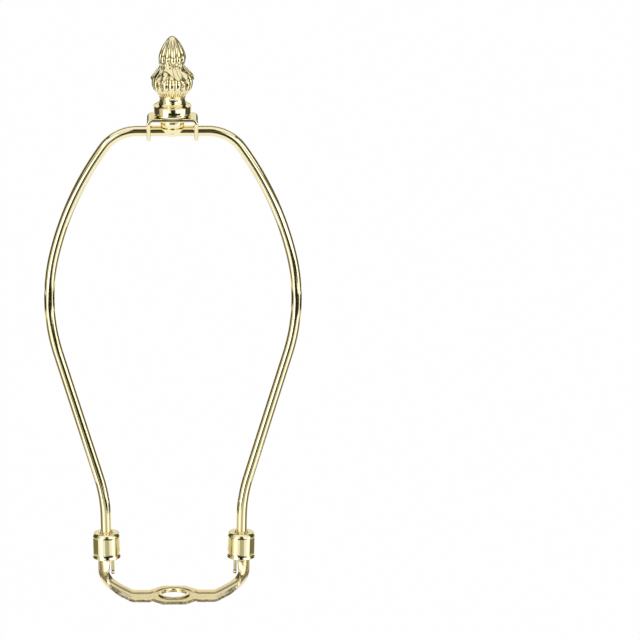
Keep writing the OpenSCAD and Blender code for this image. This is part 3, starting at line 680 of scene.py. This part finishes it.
def build_saddle():
    """Both arms and the ring: points, faces, the sheared faces and the hollow values of painted shade
    and highlight.
    """
    line = arm_line()
    length = [0.0]
    for k in range(1, len(line)):
        length.append(length[-1] + float(np.linalg.norm(line[k][0] - line[k - 1][0])))
    # The edges begin to curl soon after the fold and end up as a channel near the arm's end
    curl_from = length[18]
    curl_to = length[-3]
    parts = []
    marked = []
    hollow = []
    count = 0
    for side in (1, -1):
        rings = []
        for k, (p, a) in enumerate(line):
            curl = float(ease((length[k] - curl_from) / (curl_to - curl_from)))
            section, shade, n = sheet_section(curl)
            hollow.append(shade)
            s, c = math.sin(math.radians(a)), math.cos(math.radians(a))
            rings.append(np.stack([side * (p[0] - section[:, 1] * s), section[:, 0],
                                   p[1] + section[:, 1] * c], 1))
        around = len(rings[0])
        faces = tube_faces(len(rings), around, caps=False)
        edge_steps = (n - 1, n, n + 1, 2 * n + 1, 2 * n + 2, 2 * n + 3)
        marked += [count + i * around + j for i in range(len(rings) - 1) for j in edge_steps]
        # The channel's upper end
        base = (len(rings) - 1) * around
        for i in range(n - 1):
            faces.append((base + i, base + i + 1, base + 2 * n - i, base + 2 * n + 1 - i))
        faces.append((base + n - 1, base + n, base + n + 1, base + n + 2))
        faces.append((base + 2 * n + 2, base + 2 * n + 3, base, base + 2 * n + 1))
        count += len(faces)
        parts.append((np.vstack(rings), faces))
    # The ring, in polar rows between the hole and its outline
    end_y = strip_steps(STRIP_W / 2)
    end_y[0] += BREAK
    end_y[-1] -= BREAK
    step = (RING_W - STRIP_W) / 2
    outline = [(RING_END, y) for y in end_y]
    corners = [(RING_END, STRIP_W / 2), (RING_END - step, RING_W / 2),
               (-RING_END + step, RING_W / 2), (-RING_END, STRIP_W / 2)]
    for (x0, y0), (x1, y1) in zip(corners[:-1], corners[1:]):
        for f in np.linspace(0, 1, 15)[(0 if x0 == RING_END else 1):]:
            outline.append((x0 + (x1 - x0) * f, y0 + (y1 - y0) * f))
    outline += [(-RING_END, y) for y in end_y[::-1]]
    half = outline[len(end_y):len(outline) - len(end_y)]
    outline += [(-x, -y) for x, y in half]
    fractions = np.concatenate([[0, 0.02, 0.05, 0.09], np.linspace(0.14, 1, 26)])
    top, low = [], []
    for x, y in outline:
        r1 = math.hypot(x, y)
        ux, uy = x / r1, y / r1
        row = [RING_HOLE_R + (r1 - RING_HOLE_R) * f for f in fractions]
        top.append([(r * ux, r * uy, ring_top(r * ux, r * uy) - (0.16 if i == 0 else 0))
                    for i, r in enumerate(row)])
        low.append([(r * ux, r * uy, ring_top(r * ux, r * uy) - SHEET_T) for r in row])
    n = len(outline)
    m = len(fractions)
    pts = np.vstack([np.array(top).reshape(-1, 3), np.array(low).reshape(-1, 3)])
    faces = []
    for i in range(n):
        k = (i + 1) % n
        for j in range(m - 1):
            faces.append((i * m + j, i * m + j + 1, k * m + j + 1, k * m + j))
            faces.append((n * m + i * m + j, n * m + k * m + j,
                          n * m + k * m + j + 1, n * m + i * m + j + 1))
        faces.append((i * m, k * m, n * m + k * m, n * m + i * m))
        x0, y0 = outline[i]
        x1, y1 = outline[k]
        if not (abs(abs(x0) - RING_END) < 1e-6 and abs(abs(x1) - RING_END) < 1e-6):
            marked.append(count + len(faces))
            faces.append((i * m + m - 1, n * m + i * m + m - 1,
                          n * m + k * m + m - 1, k * m + m - 1))
    parts.append((pts, faces))
    # The ring's upper face gets painted shade where it slopes to the front, and painted highlight on
    # bright lines beside that
    reach = 0.3
    for x, y, _ in pts[:n * m]:
        r = math.hypot(x, y)
        if 5.3 < r < 6.1 or (abs(x) > 8.3 and 1.2 < y < 2.25):
            hollow.append([PAINTED_HIGHLIGHT])
            continue
        if abs(x) > 8.3:
            rise = ring_top(x, y + reach) - ring_top(x, y - reach)
        elif r > 5.6:
            further, nearer = (r + reach) / r, (r - reach) / r
            rise = (ring_top(x * further, y * further) - ring_top(x * nearer, y * nearer)) * y / r
        else:
            rise = 0
        hollow.append([min(1, max(0, rise / reach))])
    hollow.append(np.zeros(n * m))
    return (*join(parts), marked, np.concatenate(hollow))


saddle_points, saddle_faces, sheared, saddle_hollow = build_saddle()
saddle = make_object("stamped_saddle", saddle_points, saddle_faces, "harp_frame", ["saddle"],
                     40, sheared, saddle_hollow)


# Materials
def brass(name, tint, deep, rough, ripple, scale):
    """Metal with a clouded colour, a smeared roughness and a fine ripple."""
    mat = bpy.data.materials.new(name)
    mat.use_nodes = True
    nodes = mat.node_tree.nodes
    links = mat.node_tree.links
    bsdf = nodes["Principled BSDF"]
    bsdf.inputs["Metallic"].default_value = 1
    coord = nodes.new("ShaderNodeTexCoord")
    cloud = nodes.new("ShaderNodeTexNoise")
    cloud.inputs["Scale"].default_value = scale
    cloud.inputs["Detail"].default_value = 5
    links.new(coord.outputs["Object"], cloud.inputs["Vector"])
    ramp = nodes.new("ShaderNodeValToRGB")
    ramp.color_ramp.elements[0].position = 0.32
    ramp.color_ramp.elements[0].color = (*deep, 1)
    ramp.color_ramp.elements[1].position = 0.68
    ramp.color_ramp.elements[1].color = (*tint, 1)
    links.new(cloud.outputs["Fac"], ramp.inputs["Fac"])
    links.new(ramp.outputs["Color"], bsdf.inputs["Base Color"])
    smear = nodes.new("ShaderNodeTexNoise")
    smear.inputs["Scale"].default_value = scale * 4
    smear.inputs["Detail"].default_value = 6
    links.new(coord.outputs["Object"], smear.inputs["Vector"])
    span = nodes.new("ShaderNodeMapRange")
    span.inputs["To Min"].default_value = rough[0]
    span.inputs["To Max"].default_value = rough[1]
    links.new(smear.outputs["Fac"], span.inputs["Value"])
    links.new(span.outputs["Result"], bsdf.inputs["Roughness"])
    fine = nodes.new("ShaderNodeTexNoise")
    fine.inputs["Scale"].default_value = 420
    fine.inputs["Detail"].default_value = 3
    links.new(coord.outputs["Object"], fine.inputs["Vector"])
    bump = nodes.new("ShaderNodeBump")
    bump.inputs["Strength"].default_value = ripple
    bump.inputs["Distance"].default_value = 0.0004
    links.new(fine.outputs["Fac"], bump.inputs["Height"])
    links.new(bump.outputs["Normal"], bsdf.inputs["Normal"])
    return mat


def multiplied(nodes, links, socket, factor):
    node = nodes.new("ShaderNodeMath")
    node.operation = "MULTIPLY"
    node.inputs[1].default_value = factor
    links.new(socket, node.inputs[0])
    return node.outputs[0]


def mixed_in(nodes, links, factor, source, colour):
    node = nodes.new("ShaderNodeMix")
    node.data_type = "RGBA"
    node.inputs[7].default_value = (*colour, 1)
    links.new(factor, node.inputs[0])
    links.new(source, node.inputs[6])
    return node.outputs[2]


def shade_hollows(mat, dark, strength, bright):
    """Paints shade, a darker brass, where the attribute "hollow" is above 0, and a painted highlight, a
    brighter one, below 0.
    """
    nodes = mat.node_tree.nodes
    links = mat.node_tree.links
    base = nodes["Principled BSDF"].inputs["Base Color"]
    source = base.links[0].from_socket
    value = nodes.new("ShaderNodeAttribute")
    value.attribute_name = "hollow"
    depth = multiplied(nodes, links, value.outputs["Fac"], strength)
    darkened = mixed_in(nodes, links, depth, source, dark)
    # Painted highlight where the attribute is below 0
    painted_highlight_share = multiplied(nodes, links, value.outputs["Fac"], -1)
    links.new(mixed_in(nodes, links, painted_highlight_share, darkened, bright), base)


polished = brass("polished brass", (0.96, 0.88, 0.60), (0.91, 0.81, 0.50), (0.04, 0.09), 0.02, 60)
cast = brass("cast brass", (0.96, 0.88, 0.59), (0.91, 0.81, 0.49), (0.05, 0.11), 0.06, 60)
# Painted shade in the finial's recesses
shade_hollows(cast, (0.10, 0.08, 0.03), 0.8, (1.0, 0.95, 0.75))
satin = brass("satin brass", (0.91, 0.80, 0.50), (0.84, 0.72, 0.42), (0.14, 0.24), 0.02, 90)
# Painted shade and painted highlights on the saddle's groove and ring
shade_hollows(satin, (0.30, 0.23, 0.10), 0.8, (1.0, 0.97, 0.80))
torn = brass("sheared edge", (0.95, 0.86, 0.60), (0.42, 0.34, 0.18), (0.22, 0.4), 0.7, 900)
for piece in (wire, rest, stud, bpy.data.objects["left_cup"], bpy.data.objects["right_cup"]):
    piece.data.materials.append(polished)
finial.data.materials.append(cast)
saddle.data.materials.append(satin)
saddle.data.materials.append(torn)

# Studio: a white world and floor, and cards that only the polished metal mirrors
WHITE = (1, 1, 1)
BLACK = (0.02, 0.02, 0.01)
OLIVE = (0.08, 0.075, 0.04)
DEEP = (0.04, 0.037, 0.02)
SHADE = (0.05, 0.045, 0.02)
BROWN = (0.12, 0.11, 0.05)
MOSS = (0.16, 0.16, 0.10)
BRONZE = (0.20, 0.185, 0.10)
UMBER = (0.30, 0.27, 0.15)
PEWTER = (0.50, 0.51, 0.38)
SAND = (0.66, 0.62, 0.46)
GOLD = (0.70, 0.66, 0.42)
CREAM = (0.88, 0.82, 0.64)


def rays_of(nodes, links, *kinds):
    """1 for the kinds of ray named, 0 for the rest."""
    path = nodes.new("ShaderNodeLightPath")
    socket = path.outputs[kinds[0]]
    for kind in kinds[1:]:
        most = nodes.new("ShaderNodeMath")
        most.operation = "MAXIMUM"
        links.new(socket, most.inputs[0])
        links.new(path.outputs[kind], most.inputs[1])
        socket = most.outputs[0]
    return socket


def glow_node(nodes, kind, colour, strength):
    node = nodes.new(kind)
    node.inputs["Color"].default_value = (*colour, 1)
    node.inputs["Strength"].default_value = strength
    return node.outputs[0]


def join_shaders(nodes, links, factor, first, second, output):
    """The first shader where the factor is 0 and the second where it is 1, as the output's surface."""
    blend = nodes.new("ShaderNodeMixShader")
    links.new(factor, blend.inputs["Fac"])
    links.new(first, blend.inputs[1])
    links.new(second, blend.inputs[2])
    links.new(blend.outputs[0], nodes.new(output).inputs["Surface"])


def build_world():
    world = bpy.data.worlds.new("studio")
    bpy.context.scene.world = world
    world.use_nodes = True
    nodes = world.node_tree.nodes
    links = world.node_tree.links
    nodes.clear()
    direct = rays_of(nodes, links, "Is Camera Ray", "Is Glossy Ray", "Is Transmission Ray")
    lighting = glow_node(nodes, "ShaderNodeBackground", WHITE, 0.7)
    backdrop = glow_node(nodes, "ShaderNodeBackground", WHITE, 1)
    join_shaders(nodes, links, direct, lighting, backdrop, "ShaderNodeOutputWorld")


def build_floor(half=14, height=-0.9, glow_share=0.988):
    """A pale floor far below: white to the camera and the metal, but for a little shadow."""
    mesh = bpy.data.meshes.new("floor")
    mesh.from_pydata([(-half, -half, height), (half, -half, height), (half, half, height),
                      (-half, half, height)], [], [(0, 1, 2, 3)])
    mat = bpy.data.materials.new("floor")
    mat.use_nodes = True
    nodes = mat.node_tree.nodes
    links = mat.node_tree.links
    nodes.clear()
    matt = nodes.new("ShaderNodeBsdfDiffuse")
    matt.inputs["Color"].default_value = (0.85, 0.85, 0.85, 1)
    glow = glow_node(nodes, "ShaderNodeEmission", WHITE, 1)
    direct = rays_of(nodes, links, "Is Camera Ray", "Is Glossy Ray")
    share = multiplied(nodes, links, direct, glow_share)
    join_shaders(nodes, links, share, matt.outputs[0], glow, "ShaderNodeOutputMaterial")
    mesh.materials.append(mat)
    floor = bpy.data.objects.new("floor", mesh)
    bpy.context.scene.collection.objects.link(floor)
    return floor


def card(name, corners, faces, colour, strength):
    """A glowing card that neither the camera nor the soft light sees."""
    mesh = bpy.data.meshes.new(name)
    mesh.from_pydata(corners, [], faces)
    mat = bpy.data.materials.new(name)
    mat.use_nodes = True
    nodes = mat.node_tree.nodes
    nodes.clear()
    glow = glow_node(nodes, "ShaderNodeEmission", colour, strength)
    output = nodes.new("ShaderNodeOutputMaterial")
    mat.node_tree.links.new(glow, output.inputs["Surface"])
    mesh.materials.append(mat)
    flag = bpy.data.objects.new(name, mesh)
    bpy.context.scene.collection.objects.link(flag)
    flag.visible_camera = False
    flag.visible_diffuse = False
    flag.visible_shadow = False
    return flag


def bent_card(name, low_edge, high_edge, distance, colour, strength):
    """A card bent round the harp. Each edge is a height in m and a range of azimuths from the front."""
    corners = []
    steps = max(2, int(abs(low_edge[2] - low_edge[1]) / 6) + 1)
    for height, start, end in (low_edge, high_edge):
        for azimuth in np.linspace(start, end, steps):
            a = math.radians(azimuth)
            corners.append((math.sin(a) * distance, -math.cos(a) * distance, height))
    faces = [(i, i + 1, i + 1 + steps, i + steps) for i in range(steps - 1)]
    return card(name, corners, faces, colour, strength)


def both_sides(low_edge, high_edge, distance, colour):
    """A card on the right and its mirror image on the left."""
    mirrored = [(height, -end, -start) for height, start, end in (low_edge, high_edge)]
    return [(low_edge, high_edge, distance, colour, 1), (*mirrored, distance, colour, 1)]


build_world()
# Each row: the lower and the upper edge, distance in m, colour and strength
CARDS = [
    # In front, from the top down: the dark line along the wire, with lighter slots
    # at the heights that only the finial's collar and the sleeves mirror
    ((-0.05, -9, 17), (2.6, -9, 17), 1.8, BLACK, 1),
    ((-0.315, -30, 44), (-0.05, -30, 44), 1.8, BLACK, 1),
    ((-0.345, -9, 20), (-0.315, -8, 18), 1.8, MOSS, 1),
    ((-0.475, -32, 46), (-0.345, -32, 46), 1.8, BLACK, 1),
    ((-0.368, -26, 58), (-0.242, -26, 58), 1.44, BLACK, 1),
    ((-0.20, 22, 50), (-0.03, 22, 50), 1.44, BLACK, 1),
    ((-0.61, -12, 24), (-0.475, -12, 24), 1.8, PEWTER, 1),
    ((-0.82, -30, 24), (-0.61, -30, 24), 1.8, BLACK, 1),
    ((-1.2, -12, 24), (-0.82, -12, 24), 1.8, PEWTER, 1),
    # At the sides: the olive edges of the wire, and the sleeves' golden ones
    *both_sides((-0.225, 84, 142), (1.6, 84, 142), 1.5, OLIVE),
    ((-0.255, 103, 126), (-0.225, 103, 126), 1.5, OLIVE, 1),
    ((-0.255, -124, -105), (-0.225, -124, -105), 1.5, OLIVE, 1),
    *both_sides((-0.385, 74, 152), (-0.255, 76, 148), 1.5, DEEP),
    *both_sides((-0.455, 72, 130), (-0.385, 72, 130), 1.5, GOLD),
    *both_sides((-0.88, 76, 150), (-0.455, 76, 150), 1.5, BRONZE),
    # The bright bands between them
    ((-0.9, 48, 74), (0.9, 48, 84), 1.6, WHITE, 1.5),
    ((-0.385, -84, -58), (0.9, -84, -58), 1.6, SAND, 1),
    ((-0.9, -58, -34), (0.9, -58, -34), 1.6, WHITE, 1.5),
    # Higher up, for the finial's ornament and the crown
    ((0.36, -85, 85), (0.56, -85, 85), 1.45, UMBER, 1),
    ((1.42, -180, 180), (1.60, -180, 180), 1.6, BROWN, 1),
    # Behind the harp, for the saddle
    ((0.30, 145, 215), (1.1, 145, 215), 1.6, CREAM, 1),
    ((-0.12, 158, 202), (0.24, 158, 202), 1.7, SHADE, 1)]
for k, row in enumerate(CARDS):
    flag = bent_card("card_" + str(k), *row)
# A strip overhead that only the saddle's groove mirrors in the main view
strip = card("card_overhead", [(-0.4, 0.12, 0.5), (0.4, 0.12, 0.5), (0.4, 0.3, 0.5), (-0.4, 0.3, 0.5)],
             [(0, 1, 2, 3)], BLACK, 1)
floor = build_floor()


def softbox(name, azimuth, elevation, distance, size, power):
    """A soft lamp, turned to the middle of the loop."""
    data = bpy.data.lights.new(name, "AREA")
    data.shape = "RECTANGLE"
    data.size = size[0]
    data.size_y = size[1]
    data.energy = power
    lamp = bpy.data.objects.new(name, data)
    a, e = math.radians(azimuth), math.radians(elevation)
    away = Vector((math.sin(a) * math.cos(e), -math.cos(a) * math.cos(e), math.sin(e))) * distance
    facing = (-away).to_track_quat("-Z", "Y").to_matrix().to_4x4()
    lamp.matrix_world = Matrix.Translation(aim_point + away) @ facing
    bpy.context.scene.collection.objects.link(lamp)


softbox("key", -36, 8, 1.5, (0.62, 1.3), 3.4)
softbox("fill", 38, 8, 1.5, (0.62, 1.3), 3.2)
